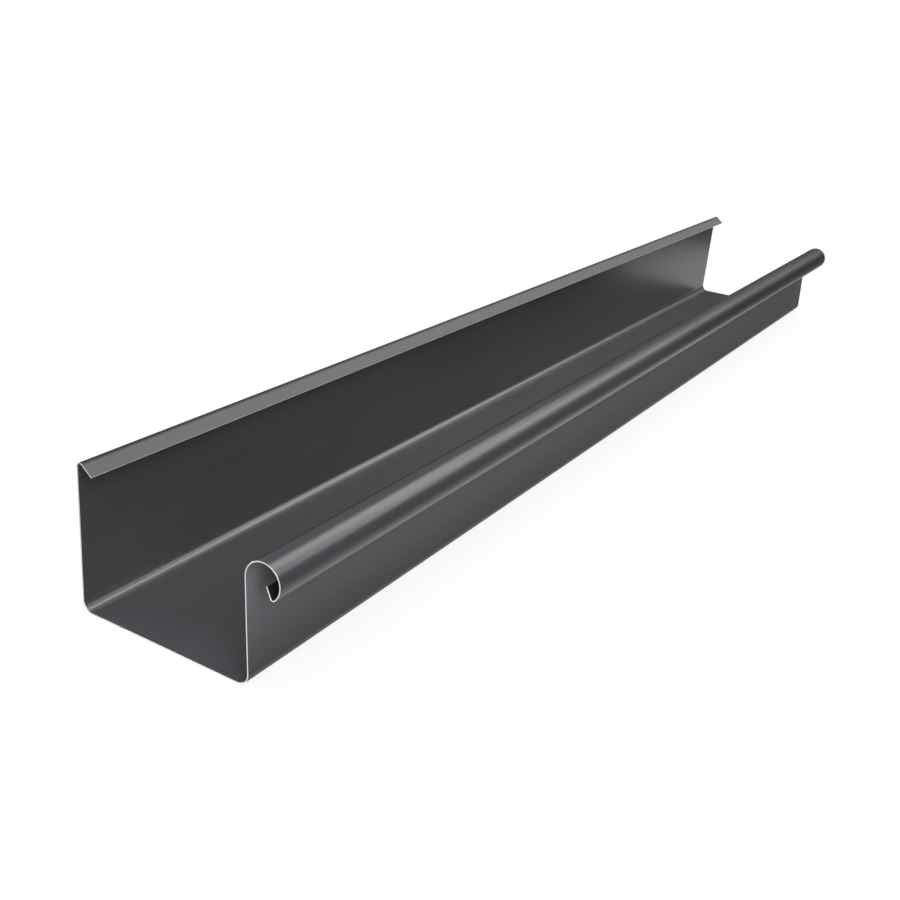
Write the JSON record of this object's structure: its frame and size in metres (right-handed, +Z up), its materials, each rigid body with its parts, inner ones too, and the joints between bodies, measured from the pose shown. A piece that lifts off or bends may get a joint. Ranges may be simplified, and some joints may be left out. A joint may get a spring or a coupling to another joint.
{
  "type": "box gutter section",
  "caption": "Straight length of box gutter rolled from one coated sheet, with a rolled front bead and a lipped rear wall.",
  "frame": {"origin": "centre of the bottom of the overall box, on the surface that the floor rests on", "axes": "+Y along the trough, +X from the wall side to the bead side, +Z up"},
  "size_m": [0.139, 1, 0.0915],
  "materials": {
    "coated_sheet": "satin anthracite coil coating, bare metal on the cut edges"
  },
  "bodies": {
    "root": {"gutter_section": "coated_sheet"}
  },
  "joints": []
}
